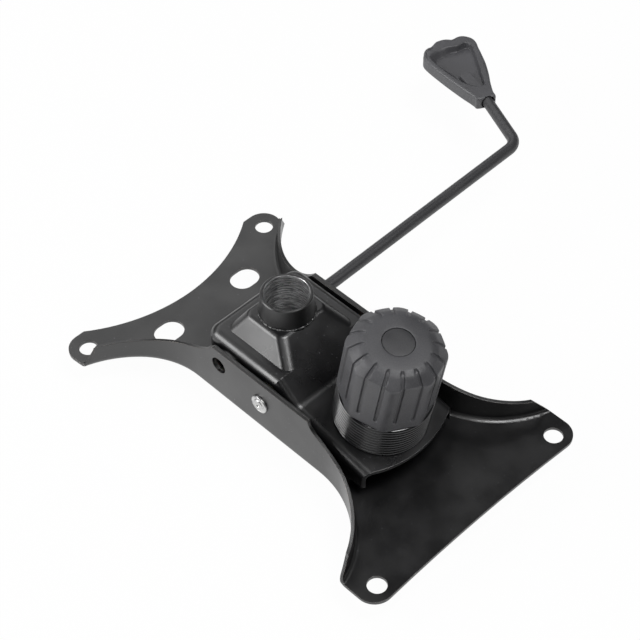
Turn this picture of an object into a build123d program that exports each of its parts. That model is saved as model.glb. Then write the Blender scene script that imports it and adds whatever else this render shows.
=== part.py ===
"""Office chair tilt mechanism, seen lying on its seat plate.

Millimetres. Z points out of the gas lift socket, X toward the front of the chair, Y toward the
lever. The origin is on the seat face, straight under the axis of the gas lift socket.
"""

import os
from math import acos, cos, degrees, radians, sin, tan

from build123d import *

os.makedirs("parts", exist_ok=True)

# Seat plate: pressed sheet with a 254 by 152.4 hole pattern.
plate_t = 2.0
hole_r = 6.0
rear_hole_x = -103.7
front_hole_x = 150.3
hole_y = 76.2
rear_lug_x = -104.4
rear_lug_r = 12.2
rear_waist_x = -94.0
front_edge_x = 161.2
front_dip = 2.0
lug_r = 13.1
flange_y = 43.7
flange_top = 42.3
bend_r = 3.0
bend_under_r = bend_r + plate_t
flange_top_x0 = -20.5
flange_top_x1 = 61.6
slot_x = -78.1
slot_right_y = 34.6
slot_left_y = -31.0
slot_len = 20.4
slot_wide = 16.6

# Curves that carry the side flanges out to the lugs. The rear one on the right starts further
# forward. Each rear one is where it starts, then radius and turn of its first and second arc.
rear_sweeps = {
    1: (-18.8, 84.9, 33.9, 100.7, 23.5),
    -1: (-36.7, 53.4, 43.9, 73.1, 27.1),
}
front_arc_x = 70.0
front_arc_r = 66.0
spare = 1.5

# Doubling plates inside the flanges.
doubler_t = 1.2
doubler_y = flange_y - plate_t

# Tilt pivot.
pivot_x = 21.0
pivot_z = 25.0
pin_r = 4.0
pin_head_r = 6.3
pin_head_t = 2.4
pin_head_edge = 0.8
fit = 0.05

# Release lever and its rod.
rod_x = -15.5
rod_z = 30.0
rod_r = 4.0
rod_end_y = -31.0
rod_straight_y = 55.0
rod_bend_x = -18.8
rod_bend_y = 231.6
rod_bend_r = 12.0
lock_hole_r = 5.75
arm_turn = 66.7
arm_len = 46.5
grip_x = -60.6
grip_y = 247.6
grip_turn = 63.0
grip_depth = 10.0
swing_drop = 6.7
swing_gap = 0.9
swing_wide = 2 * (rod_r + swing_gap)
swing_len = swing_drop + swing_wide

# Housing: one deep pressing, 2 mm sheet.
sheet = 2.0
wall_y = 38.0
house_rear_x = -33.5
house_base_z = 14.0
shoulder_z = 46.0
boss_top_z = 58.0
slope_top_x = 15.0
slope_run = 0.85
house_front_z = 10.0
corner_x = 100.5
bulge_x = 111.0
shoulder_r = 6.0
rear_post_r = 9.0
boss_rear_x = -17.0
boss_side_y = 19.5
boss_rear_run = 7.0 / 12.0
boss_side_run = 9.0 / 12.0
boss_corner_r = 6.0
boss_sink = 4.0
boss_edge_r = 4.0
valley_r = 8.0
bush_seat_r = 6.0
bolt_hole_r = 7.0

# Gas lift socket, for the usual 28 mm tapered column end.
socket_top_z = 73.0
socket_base_z = 36.0
bore_mouth_r = 14.0
bore_land = 15.0
bore_taper = 0.0125
socket_rim_r = 16.2
socket_skirt_r = 17.3
socket_tail_r = 16.5

# Tension axis: leans forward from the platform of the housing.
foot_x = 78.6
foot_z = 26.9
lean = 10.0
bolt_r = 5.0
boot_r = 29.3
boot_h = 26.2
boot_rings = 10
spring_mean_r = 19.0
wire_r = 2.7
spring_low = 2.0
spring_high = 50.0
knob_low = 26.6
knob_high = 67.8
knob_corner_r = 30.2
knob_phase = -5.0
knob_crown_h = 7.5

axis_dir = Vector(sin(radians(lean)), 0, cos(radians(lean)))
axis_side = Vector(cos(radians(lean)), 0, -sin(radians(lean)))


def on_axis(height):
    """Plane square to the tension axis, at this height above the platform."""
    foot = Vector(foot_x, 0, foot_z)
    return Plane(origin=foot + axis_dir * height, x_dir=axis_side, z_dir=axis_dir)


def across(y_top):
    """Plane whose sketch x and y are X and Z, extruding toward -Y from y_top."""
    return Plane.XZ.offset(-y_top)


def side_plane():
    """Plane through the tension axis, with x square to the axis and y along it."""
    return Plane(origin=(foot_x, 0, foot_z), x_dir=axis_side, z_dir=(0, -1, 0))


def save(part, label):
    part.label = label
    export_step(part, f"parts/{label}.step")


# Centres of the two rear arcs on each side, then of the front arc, all for the outer face of the
# flange and written as if on the right. Each flange line runs on a little past the edge of its
# lug, where everything is then cut off together.
rear_centres = {}
for side, (start_x, first_r, first_turn, second_r, second_turn) in rear_sweeps.items():
    first_c = (start_x, flange_y + first_r)
    further = second_r - first_r
    second_c = (
        first_c[0] + further * sin(radians(first_turn)),
        first_c[1] + further * cos(radians(first_turn)),
    )
    rear_centres[side] = (first_c, second_c)
front_c = (front_arc_x, flange_y + front_arc_r)
lug_top_y = hole_y + lug_r
front_turn = degrees(acos(1 - (lug_top_y + spare - flange_y) / front_arc_r))
rear_spare_turn = 1.5
rear_lug_top_y = hole_y + rear_lug_r
rear_edge_x = rear_lug_x - rear_lug_r
front_lug_x0 = front_hole_x - 1.5
waist_mid = (-99.4, 35.0)
lug_low_y = 69.5
front_lug_mid = (157.9, 85.5)

# Heights of the flange's top edge, rear and front, as pairs of x and z.
rear_top_edge = (
    (-98, 16.6),
    (-89.5, 16.8),
    (-79, 17.4),
    (-69, 18.9),
    (-57.6, 22.0),
    (-45.6, 26.0),
    (-35, 30.8),
    (-26, 37.0),
    (flange_top_x0, flange_top),
)
front_top_edge = (
    (flange_top_x1, flange_top),
    (64.5, 37.0),
    (70, 33.2),
    (79, 28.8),
    (90, 26.0),
    (100, 23.1),
    (110, 20.0),
    (120, 17.2),
    (128, 15.0),
    (136, 14.2),
)
clear_z = 60.0
bend_in = 0.5**0.5 - 1
bend_over = 0.4
clear_rear_x = -130.0
clear_front_x = 170.0
clear_y = 120.0
cut_y = 60.0
# Ends of the flanges, seen from the front, as pairs of y and z: they lean back from the lugs.
front_flange_end = ((lug_top_y, plate_t), (80.4, 13.4), (78.6, 15.5), (78.6, clear_z))
rear_flange_end = ((87.5, plate_t), (80.4, 14.5), (78.6, 16.9), (78.6, clear_z))
end_span = 40.0
front_end_x = front_lug_x0 - end_span

def side_arc(side, centre, radius, start, turn):
    """An arc of the right half of the plate, or on the left its mirror image."""
    return CenterArc((centre[0], side * centre[1]), radius, side * start, side * turn)


def flange_line(side, deeper=0.0):
    """Outer face of a flange seen from above, or a line this much further in, front end last."""
    first_r, first_turn, second_r, second_turn = rear_sweeps[side][1:]
    first_c, second_c = rear_centres[side]
    second_start = 270 - first_turn - second_turn - rear_spare_turn
    second_turn += rear_spare_turn
    second = side_arc(side, second_c, second_r + deeper, second_start, second_turn)
    first = side_arc(side, first_c, first_r + deeper, 270 - first_turn, first_turn)
    front = side_arc(side, front_c, front_arc_r + deeper, 270, front_turn)
    Line(first @ 1, front @ 0)
    return second @ 0, front @ 1


hair = 0.01
shortest_bend = 12.0


def inner_bends(part):
    """Long edges on top of the plate that follow the inner face of a flange."""
    found = []
    for edge in part.edges():
        middle = edge @ 0.5
        side = 1 if middle.Y > 0 else -1
        first_c, second_c = rear_centres[side]
        curves = (
            (first_c, rear_sweeps[side][1]),
            (second_c, rear_sweeps[side][3]),
            (front_c, front_arc_r),
        )
        gaps = [abs(abs(middle.Y) - flange_y + plate_t)]
        for centre, radius in curves:
            reach = (Vector(centre[0], centre[1]) - Vector(middle.X, abs(middle.Y))).length
            gaps.append(abs(reach - radius - plate_t))
        long = edge.length > shortest_bend
        if abs(middle.Z - plate_t) < hair and min(gaps) < hair and long:
            found.append(edge)
    return found


# Seat plate.
with BuildPart() as seat_plate:
    with BuildSketch():
        for side in (1, -1):
            with BuildLine():
                # Rear edge, curved in between the lugs, then once round to the front edge.
                waist = ThreePointArc(
                    (rear_waist_x, 0),
                    (waist_mid[0], side * waist_mid[1]),
                    (rear_edge_x, side * lug_low_y),
                )
                Line(waist @ 1, (rear_edge_x, side * hole_y))
                rear_lug = side_arc(side, (rear_lug_x, hole_y), rear_lug_r, 180, -90)
                rear_end, front_end = flange_line(side)
                Line(rear_lug @ 1, rear_end)
                front_lug = Line(front_end, (front_lug_x0, side * lug_top_y))
                ThreePointArc(
                    front_lug @ 1,
                    (front_lug_mid[0], side * front_lug_mid[1]),
                    (front_edge_x, side * hole_y),
                )
                front_dip_arc = ThreePointArc(
                    (front_edge_x, side * hole_y),
                    (front_edge_x - 3 * front_dip / 4, side * hole_y / 2),
                    (front_edge_x - front_dip, 0),
                )
                Line(front_dip_arc @ 1, waist @ 0)
            make_face()
    extrude(amount=plate_t)
    # Both flanges, standing on the edge of the plate.
    with BuildSketch():
        for side in (1, -1):
            with BuildLine():
                outer_ends = flange_line(side)
                inner_ends = flange_line(side, plate_t)
                Line(outer_ends[0], inner_ends[0])
                Line(outer_ends[1], inner_ends[1])
            make_face()
    extrude(amount=flange_top)
    fillet(inner_bends(seat_plate.part), bend_r)
    # Outside of the bend, rounded along each flange.
    for side in (1, -1):
        with BuildLine() as foot:
            flange_line(side)
        along = foot.line % 0
        outward = Vector(-side * along.Y, side * along.X, 0)
        with BuildSketch(Plane(origin=foot.line @ 0, x_dir=outward, z_dir=along)):
            with BuildLine():
                ThreePointArc(
                    (-bend_under_r, 0),
                    (bend_in * bend_under_r, -side * bend_in * bend_under_r),
                    (0, side * bend_under_r),
                )
                Polyline(
                    (0, side * bend_under_r),
                    (bend_over, side * bend_under_r),
                    (bend_over, -side * bend_over),
                    (-bend_under_r, -side * bend_over),
                    (-bend_under_r, 0),
                )
            make_face()
        sweep(path=foot.line, mode=Mode.SUBTRACT)
    # Side view of what is cut away above the flanges.
    with BuildSketch(across(clear_y)):
        with BuildLine():
            Spline(*rear_top_edge)
            Polyline(
                rear_top_edge[-1],
                (flange_top_x0, clear_z),
                (clear_rear_x, clear_z),
                (clear_rear_x, rear_top_edge[0][1]),
                rear_top_edge[0],
            )
        make_face()
        with BuildLine():
            Spline(*front_top_edge)
            Polyline(
                front_top_edge[-1],
                (clear_front_x, front_top_edge[-1][1]),
                (clear_front_x, clear_z),
                (flange_top_x1, clear_z),
                front_top_edge[0],
            )
        make_face()
    extrude(amount=2 * clear_y, mode=Mode.SUBTRACT)
    # Ends of the flanges, first along the edges of the lugs and then leaning back from them.
    with BuildSketch():
        for side in (1, -1):
            first_c, second_c = rear_centres[side]
            second_r = rear_sweeps[side][3]
            end_turn = radians(270 - rear_sweeps[side][2] - rear_sweeps[side][4])
            end_x = second_c[0] + second_r * cos(end_turn)
            end_y = second_c[1] + second_r * sin(end_turn)
            with BuildLine():
                Polyline(
                    (rear_lug_x, side * rear_lug_top_y),
                    (2 * end_x - rear_lug_x, side * (2 * end_y - rear_lug_top_y)),
                    (2 * end_x - rear_lug_x, side * clear_y),
                    (rear_lug_x, side * clear_y),
                    close=True,
                )
            make_face()
            with BuildLine():
                Polyline(
                    (front_end_x, side * lug_top_y),
                    (front_lug_x0, side * lug_top_y),
                    (front_lug_x0, side * clear_y),
                    (front_end_x, side * clear_y),
                    close=True,
                )
            make_face()
    extrude(amount=clear_z, mode=Mode.SUBTRACT)
    for start_x, flange_end in ((front_end_x, front_flange_end), (clear_rear_x, rear_flange_end)):
        with BuildSketch(Plane.YZ.offset(start_x)):
            for side in (1, -1):
                with BuildLine():
                    Polyline(
                        *[(side * y, z) for y, z in flange_end],
                        (side * clear_y, clear_z),
                        (side * clear_y, plate_t),
                        close=True,
                    )
                make_face()
        extrude(amount=end_span, mode=Mode.SUBTRACT)
    # Bolt holes and the two long slots.
    with BuildSketch():
        with Locations(
            (rear_hole_x, hole_y),
            (rear_hole_x, -hole_y),
            (front_hole_x, hole_y),
            (front_hole_x, -hole_y),
        ):
            Circle(hole_r)
        with Locations((slot_x, slot_right_y), (slot_x, slot_left_y)):
            SlotOverall(slot_len, slot_wide, rotation=90)
    extrude(amount=plate_t, mode=Mode.SUBTRACT)
    # Pivot holes through both flanges.
    with BuildSketch(across(cut_y)):
        with Locations((pivot_x, pivot_z)):
            Circle(pin_r)
    extrude(amount=2 * cut_y, mode=Mode.SUBTRACT)
    # Lock hole on the left, swing slot for the rod on the right.
    with BuildSketch(across(0)):
        with Locations((rod_x, rod_z)):
            Circle(lock_hole_r)
    extrude(amount=cut_y, mode=Mode.SUBTRACT)
    with BuildSketch(across(cut_y)):
        with Locations((rod_x, rod_z - swing_drop / 2)):
            SlotOverall(swing_len, swing_wide, rotation=90)
    extrude(amount=cut_y, mode=Mode.SUBTRACT)


save(seat_plate.part, "seat_plate")

# Doubling plates, one inside each flange.
doubler_x0 = -27.0
doubler_x1 = 61.0
doubler_low_z = 9.0
doubler_shape = (
    (flange_top_x0, flange_top),
    (doubler_x0, 36.0),
    (doubler_x0, doubler_low_z),
    (50.0, doubler_low_z),
    (doubler_x1, 24.0),
    (doubler_x1, flange_top),
)
with BuildPart() as doubler_right:
    with BuildSketch(across(doubler_y)):
        with BuildLine():
            Polyline(*doubler_shape, close=True)
        make_face()
        with Locations((pivot_x, pivot_z)):
            Circle(pin_r, mode=Mode.SUBTRACT)
        with Locations((rod_x, rod_z - swing_drop / 2)):
            SlotOverall(swing_len, swing_wide, rotation=90, mode=Mode.SUBTRACT)
    extrude(amount=doubler_t)
save(doubler_right.part, "flange_doubler_right")

with BuildPart() as doubler_left:
    with BuildSketch(across(-doubler_y + doubler_t)):
        with BuildLine():
            Polyline(*doubler_shape, close=True)
        make_face()
        with Locations((pivot_x, pivot_z)):
            Circle(pin_r, mode=Mode.SUBTRACT)
        with Locations((rod_x, rod_z)):
            Circle(lock_hole_r, mode=Mode.SUBTRACT)
    extrude(amount=doubler_t)
save(doubler_left.part, "flange_doubler_left")

# Tilt pin with a riveted head outside each flange.
with BuildPart() as tilt_pin:
    with BuildSketch(across(flange_y)):
        with Locations((pivot_x, pivot_z)):
            Circle(pin_r)
    extrude(amount=2 * flange_y)
    with BuildSketch(across(flange_y + pin_head_t)):
        with Locations((pivot_x, pivot_z)):
            Circle(pin_head_r)
    extrude(amount=pin_head_t)
    with BuildSketch(across(-flange_y)):
        with Locations((pivot_x, pivot_z)):
            Circle(pin_head_r)
    extrude(amount=pin_head_t)
    rims = tilt_pin.edges().filter_by(GeomType.CIRCLE)
    far_rims = [e for e in rims if abs(abs(e.center().Y) - flange_y - pin_head_t) < hair]
    chamfer(far_rims, pin_head_edge)
save(tilt_pin.part, "tilt_pin")

# Bracket on the plate that holds the lower end of the tension bolt.
anchor_top_z = 14.5
anchor_t = 2.5
anchor_leg_y = 20.0
anchor_foot_y = 29.0
anchor_x0 = 63.0
anchor_x1 = 91.0
anchor_slot_x = 76.8
anchor_slot_len = 16.0
anchor_slot_wide = 11.8
with BuildPart() as bolt_anchor:
    with BuildSketch(Plane.YZ.offset(anchor_x0)):
        with BuildLine():
            Polyline(
                (-anchor_foot_y, plate_t),
                (-anchor_leg_y + anchor_t, plate_t),
                (-anchor_leg_y + anchor_t, anchor_top_z - anchor_t),
                (anchor_leg_y - anchor_t, anchor_top_z - anchor_t),
                (anchor_leg_y - anchor_t, plate_t),
                (anchor_foot_y, plate_t),
                (anchor_foot_y, plate_t + anchor_t),
                (anchor_leg_y, plate_t + anchor_t),
                (anchor_leg_y, anchor_top_z),
                (-anchor_leg_y, anchor_top_z),
                (-anchor_leg_y, plate_t + anchor_t),
                (-anchor_foot_y, plate_t + anchor_t),
                close=True,
            )
        make_face()
    extrude(amount=anchor_x1 - anchor_x0)
    with BuildSketch(Plane.XY.offset(anchor_top_z - anchor_t)):
        with Locations((anchor_slot_x, 0)):
            SlotOverall(anchor_slot_len, anchor_slot_wide)
    extrude(amount=anchor_t, mode=Mode.SUBTRACT)
save(bolt_anchor.part, "bolt_anchor")

# Rubber pads that the front of the housing comes to rest on.
pad_top_z = 9.6
pad_x = 76.0
pad_y = 34.0
pad_len = 22.0
pad_wide = 7.0
pad_corner_r = 2.0
with BuildPart() as rest_pads:
    with BuildSketch(Plane.XY.offset(plate_t)):
        with Locations((pad_x, pad_y), (pad_x, -pad_y)):
            RectangleRounded(pad_len, pad_wide, pad_corner_r)
    extrude(amount=pad_top_z - plate_t)
save(rest_pads.part, "rest_pads")

# Housing: outer volume less an inner one, sheet thickness apart.
slope_slant = (1 + slope_run**2) ** 0.5
platform_drop = tan(radians(lean))
step_x0 = 44.0
step_x1 = 52.0
rim_from_y = 28.5
shortest_rim = 8.0


def slope_z(x, inset):
    """Height of the front slope under the boss, moved in square to itself."""
    return boss_top_z - slope_run * (x - slope_top_x) - inset * slope_slant


def platform_z(x, inset):
    """Height of the platform that carries the knob, moved in square to itself."""
    return foot_z - platform_drop * (x - foot_x) - inset / cos(radians(lean))


def slope_x(z, inset):
    """Where the front slope passes this height."""
    return slope_top_x + (boss_top_z - inset * slope_slant - z) / slope_run


def valley(inset):
    """Where the front slope meets the platform."""
    top = boss_top_z - inset * slope_slant + slope_run * slope_top_x
    flat = foot_z - inset / cos(radians(lean)) + platform_drop * foot_x
    x = (top - flat) / (slope_run - platform_drop)
    return (x, slope_z(x, inset))


# Each volume as its inset from the outer face, its front end, and how far it goes on below.
house_volumes = []
for inset, front_x, below in ((0.0, 113.0, 0.0), (sheet, 125.0, 10.0)):
    with BuildPart() as volume:
        with BuildSketch(across(wall_y - inset)) as side_view:
            with BuildLine():
                top_z = shoulder_z - inset
                Polyline(
                    (house_rear_x + inset, house_base_z - below),
                    (house_rear_x + inset, top_z),
                    (slope_x(top_z, inset), top_z),
                    valley(inset),
                    (front_x, platform_z(front_x, inset)),
                    (front_x, house_front_z - below),
                    (step_x1, house_front_z - below),
                    (step_x0, house_base_z - below),
                    close=True,
                )
            make_face()
            low_point = Vector(*valley(inset))
            corners = side_view.vertices()
            valley_corner = [c for c in corners if (Vector(c.X, c.Y) - low_point).length < hair]
            fillet(valley_corner, valley_r + inset)
        extrude(amount=2 * (wall_y - inset))
        rear_posts = [
            e
            for e in volume.edges().filter_by(Axis.Z)
            if abs((e @ 0.5).X - house_rear_x - inset) < hair
        ]
        fillet(rear_posts, rear_post_r - inset)
        rims = []
        for e in volume.edges():
            mid = e @ 0.5
            if mid.Z > top_z - hair and (abs(mid.Y) > rim_from_y - inset or mid.X < 0):
                rims.append(e)
            elif abs(abs(mid.Y) - wall_y + inset) < hair and e.length > shortest_rim:
                before_valley = mid.X < valley(inset)[0]
                above = (slope_z if before_valley else platform_z)(mid.X, inset)
                if abs(mid.Z - above) < 5 * hair:
                    rims.append(e)
        fillet(rims, shoulder_r - inset)
        # Boss, its walls sloping out to a foot a little below the shoulder.
        rise = boss_top_z - shoulder_z + boss_sink - inset
        rear_slant = (1 + boss_rear_run**2) ** 0.5
        side_slant = (1 + boss_side_run**2) ** 0.5
        top_rear = boss_rear_x + inset * (rear_slant - boss_rear_run)
        top_side = boss_side_y - inset * (side_slant - boss_side_run)
        top_front = slope_x(boss_top_z - inset, inset)
        foot_rear = top_rear - boss_rear_run * rise
        foot_side = top_side + boss_side_run * rise
        foot_front = slope_x(shoulder_z - boss_sink, inset)
        with BuildSketch(Plane.XY.offset(shoulder_z - boss_sink)):
            with Locations(((foot_rear + foot_front) / 2, 0)):
                RectangleRounded(foot_front - foot_rear, 2 * foot_side, boss_corner_r - inset)
        with BuildSketch(Plane.XY.offset(boss_top_z - inset)):
            with Locations(((top_rear + top_front) / 2, 0)):
                RectangleRounded(top_front - top_rear, 2 * top_side, boss_corner_r - inset)
        loft()
        boss_rim = [e for e in volume.edges() if (e @ 0.5).Z > boss_top_z - inset - hair]
        fillet(boss_rim, boss_edge_r - inset)
    house_volumes.append(volume.part)

outer_volume, inner_volume = house_volumes
with BuildPart() as plan:
    with BuildSketch():
        with BuildLine():
            Polyline((-cut_y, -cut_y), (corner_x, -cut_y), (corner_x, -wall_y))
            ThreePointArc((corner_x, -wall_y), (bulge_x, 0), (corner_x, wall_y))
            Polyline((corner_x, wall_y), (corner_x, cut_y), (-cut_y, cut_y), (-cut_y, -cut_y))
        make_face()
    extrude(amount=socket_top_z)
with BuildPart() as holes:
    # Pivot bush holes, lever bush holes, socket hole and bolt hole.
    with BuildSketch(across(cut_y)):
        with Locations((pivot_x, pivot_z), (rod_x, rod_z)):
            Circle(bush_seat_r)
    extrude(amount=2 * cut_y)
    with BuildSketch(Plane.XY.offset(socket_base_z)):
        Circle(socket_tail_r)
    extrude(amount=socket_top_z - socket_base_z)
    with BuildSketch(on_axis(-4 * sheet)):
        Circle(bolt_hole_r)
    extrude(amount=6 * sheet)
housing_part = (outer_volume & plan.part) - inner_volume - holes.part
save(housing_part, "housing")

# Gas lift socket tube.
land_low_z = socket_top_z - bore_land
tail_bore_r = bore_mouth_r - bore_taper * (land_low_z - socket_base_z)
mouth_chamfer = 0.5
rim_chamfer = 0.6
skirt_rise = 0.2
with BuildPart() as socket:
    with BuildSketch(Plane.XZ):
        with BuildLine():
            Polyline(
                (tail_bore_r, socket_base_z),
                (socket_tail_r, socket_base_z),
                (socket_tail_r, boss_top_z),
                (socket_skirt_r, boss_top_z + skirt_rise),
                (socket_rim_r, socket_top_z - rim_chamfer),
                (socket_rim_r - rim_chamfer, socket_top_z),
                (bore_mouth_r + mouth_chamfer, socket_top_z),
                (bore_mouth_r, socket_top_z - mouth_chamfer),
                (bore_mouth_r, land_low_z),
                close=True,
            )
        make_face()
    revolve(axis=Axis.Z)
save(socket.part, "gas_lift_socket")

# Inner brace welded between the housing walls round the socket.
brace_z = 38.8
brace_mid_x = -1.0
brace_len = 56.0
brace_wide = 2 * (wall_y - sheet) - 0.2
brace_corner_r = 8.5
with BuildPart() as brace:
    with BuildSketch(Plane.XY.offset(brace_z)):
        with Locations((brace_mid_x, 0)):
            RectangleRounded(brace_len, brace_wide, brace_corner_r)
        Circle(socket_tail_r, mode=Mode.SUBTRACT)
    extrude(amount=sheet)
save(brace.part, "housing_brace")

# Tilt bushes and the spacer tube between them.
bush_lip_t = 2.1
bush_lip_r = 9.0
tube_r = 7.0
tube_bore_r = 4.6
for side, label in ((1, "tilt_bush_right"), (-1, "tilt_bush_left")):
    with BuildPart() as bush:
        with BuildSketch(across(wall_y if side > 0 else -wall_y + sheet)):
            with Locations((pivot_x, pivot_z)):
                Circle(bush_seat_r)
                Circle(pin_r + fit, mode=Mode.SUBTRACT)
        extrude(amount=sheet)
        with BuildSketch(across(wall_y + bush_lip_t if side > 0 else -wall_y)):
            with Locations((pivot_x, pivot_z)):
                Circle(bush_lip_r)
                Circle(pin_r + fit, mode=Mode.SUBTRACT)
        extrude(amount=bush_lip_t)
    save(bush.part, label)
with BuildPart() as pivot_tube:
    with BuildSketch(across(wall_y - sheet)):
        with Locations((pivot_x, pivot_z)):
            Circle(tube_r)
            Circle(tube_bore_r, mode=Mode.SUBTRACT)
    extrude(amount=2 * (wall_y - sheet))
save(pivot_tube.part, "pivot_tube")

# Lever bushes: a sleeve through the wall with a flange inside.
bush_in_y = 28.0
stop_t = 1.5
stop_r = 8.0
for side, label in ((1, "lever_bush_right"), (-1, "lever_bush_left")):
    with BuildPart() as bush:
        with BuildSketch(across(wall_y if side > 0 else -bush_in_y)):
            with Locations((rod_x, rod_z)):
                Circle(bush_seat_r)
        extrude(amount=wall_y - bush_in_y)
        with BuildSketch(across(wall_y - sheet if side > 0 else -wall_y + sheet + stop_t)):
            with Locations((rod_x, rod_z)):
                Circle(stop_r)
        extrude(amount=stop_t)
        with BuildSketch(across(wall_y if side > 0 else -bush_in_y)):
            with Locations((rod_x, rod_z)):
                Circle(rod_r + fit)
        extrude(amount=wall_y - bush_in_y, mode=Mode.SUBTRACT)
    save(bush.part, label)

# Washer on the platform under the spring.
seat_washer_r = 24.0
with BuildPart() as spring_seat:
    with BuildSketch(on_axis(0)):
        Circle(seat_washer_r)
        Circle(bolt_hole_r, mode=Mode.SUBTRACT)
    extrude(amount=spring_low)
save(spring_seat.part, "spring_seat")

# Ribbed boot round the spring.
ring_pitch = boot_h / boot_rings
ring_depth = 1.1
boot_wall = 1.6
groove_r = boot_r - ring_depth
inner_wall_r = groove_r - boot_wall
with BuildPart() as boot:
    with BuildSketch(side_plane()):
        with BuildLine():
            Line((inner_wall_r, 0), (groove_r, 0))
            for ring in range(boot_rings):
                low_h = ring * ring_pitch
                ThreePointArc(
                    (groove_r, low_h),
                    (boot_r, low_h + ring_pitch / 2),
                    (groove_r, low_h + ring_pitch),
                )
            Line((groove_r, boot_h), (inner_wall_r, boot_h))
            Line((inner_wall_r, boot_h), (inner_wall_r, 0))
        make_face()
    revolve(axis=Axis((foot_x, 0, foot_z), (axis_dir.X, 0, axis_dir.Z)))
save(boot.part, "spring_boot")

# Coil spring, drawn at its preset length.
coil_turns = 5.0
coil_gap = 0.1
coil_low = spring_low + wire_r + coil_gap
coil_high = spring_high - wire_r - coil_gap
coil_pitch = (coil_high - coil_low) / coil_turns
with BuildPart() as spring:
    with BuildLine() as coil:
        Helix(
            coil_pitch,
            coil_high - coil_low,
            spring_mean_r,
            center=on_axis(coil_low).origin,
            direction=axis_dir,
        )
    with BuildSketch(Plane(origin=coil.line @ 0, z_dir=coil.line % 0)):
        Circle(wire_r)
    sweep()
save(spring.part, "tension_spring")
print("spring self gap", round(coil_pitch - 2 * wire_r, 2))

# Tension bolt with a cross pin at its lower end.
bolt_low = -22.5
bolt_high = 63.0
bolt_edge = 1.0
cross_h = -19.4
cross_r = 3.2
cross_len = 28.0
with BuildPart() as bolt:
    with BuildSketch(on_axis(bolt_low)):
        Circle(bolt_r)
    extrude(amount=bolt_high - bolt_low)
    chamfer(bolt.edges().group_by(Axis.Z)[-1], bolt_edge)
    cross_at = on_axis(cross_h).origin
    with BuildSketch(across(cross_len / 2)):
        with Locations((cross_at.X, cross_at.Z)):
            Circle(cross_r)
    extrude(amount=cross_len, mode=Mode.SUBTRACT)
save(bolt.part, "tension_bolt")
with BuildPart() as cross_pin:
    with BuildSketch(across(cross_len / 2)):
        with Locations((cross_at.X, cross_at.Z)):
            Circle(cross_r)
    extrude(amount=cross_len)
save(cross_pin.part, "bolt_cross_pin")

# Upper spring cup and thrust washer.
cup_r = 22.5
cup_t = 2.5
cup_tube_r = 15.6
cup_tube_wall = 2.0
cup_tube_h = 5.0
thrust_r = 13.0
thrust_t = 2.0
loose = 0.3
with BuildPart() as cup:
    with BuildSketch(on_axis(spring_high)):
        Circle(cup_r)
        Circle(bolt_r + loose, mode=Mode.SUBTRACT)
    extrude(amount=cup_t)
    with BuildSketch(on_axis(spring_high - cup_tube_h)):
        Circle(cup_tube_r)
        Circle(cup_tube_r - cup_tube_wall, mode=Mode.SUBTRACT)
    extrude(amount=cup_tube_h)
save(cup.part, "spring_cup")
with BuildPart() as thrust:
    with BuildSketch(on_axis(spring_high + cup_t)):
        Circle(thrust_r)
        Circle(bolt_r + loose, mode=Mode.SUBTRACT)
    extrude(amount=thrust_t)
save(thrust.part, "thrust_washer")

# Tension knob: eight rounded lobes, grooves down the sides, hollow below.
nut_low = 55.0
nut_high = 64.0
nut_flat_r = 8.5
cap_r = 9.6
cap_low = 72.3
cap_t = 3.4
crown_r = 21.5
knob_hollow_r = 25.5
groove_mid_r = 28.2
groove_in = 3.4
groove_wide = 1.7
crown_edge_h = 67.0
crown_edge_r = 30.95
groove_off = 5.5
groove_stop = 8.0
lobe_round_r = 7.0
crown_dome = 0.3
nut_gap = 0.5
nut_bore_r = 5.8
with BuildPart() as knob:
    with BuildSketch(on_axis(knob_low)):
        RegularPolygon(knob_corner_r, 8, rotation=knob_phase)
    extrude(amount=knob_high + knob_crown_h - knob_low)
    posts = [e for e in knob.edges() if e.length > knob_high - knob_low]
    fillet(posts, lobe_round_r)
    # Cone of the crown, which cuts the eight sides off in lobes.
    with BuildSketch(side_plane()):
        with BuildLine():
            Polyline(
                (0, knob_low),
                (crown_edge_r, knob_low),
                (crown_edge_r, crown_edge_h),
                (crown_r, knob_high + knob_crown_h - crown_dome),
                (0, knob_high + knob_crown_h),
                close=True,
            )
        make_face()
    revolve(axis=Axis((foot_x, 0, foot_z), (axis_dir.X, 0, axis_dir.Z)), mode=Mode.INTERSECT)
    with BuildSketch(on_axis(knob_low)):
        Circle(knob_hollow_r)
    extrude(amount=nut_low - nut_gap - knob_low, mode=Mode.SUBTRACT)
    with BuildSketch(on_axis(nut_low - nut_gap)):
        RegularPolygon(nut_flat_r, 6, major_radius=False)
    extrude(amount=nut_high + nut_gap - nut_low, mode=Mode.SUBTRACT)
    with BuildSketch(on_axis(nut_low)):
        Circle(nut_bore_r)
    extrude(amount=cap_low - nut_low, mode=Mode.SUBTRACT)
    with BuildSketch(on_axis(cap_low)):
        Circle(cap_r)
    extrude(amount=cap_t + 1, mode=Mode.SUBTRACT)
    # Grooves, two on every side.
    with BuildSketch(on_axis(knob_low + groove_stop)):
        with PolarLocations(groove_mid_r, 8, knob_phase + 22.5):
            with Locations((0, groove_off), (0, -groove_off)):
                Rectangle(groove_in, groove_wide)
    extrude(amount=knob_high - knob_low, mode=Mode.SUBTRACT)
save(knob.part, "knob_shell")

with BuildPart() as knob_nut:
    with BuildSketch(on_axis(nut_low)):
        RegularPolygon(nut_flat_r, 6, major_radius=False)
        Circle(bolt_r + fit, mode=Mode.SUBTRACT)
    extrude(amount=nut_high - nut_low)
save(knob_nut.part, "knob_nut")

with BuildPart() as knob_cap:
    with BuildSketch(on_axis(cap_low)):
        Circle(cap_r)
    extrude(amount=cap_t)
save(knob_cap.part, "knob_cap")

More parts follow.
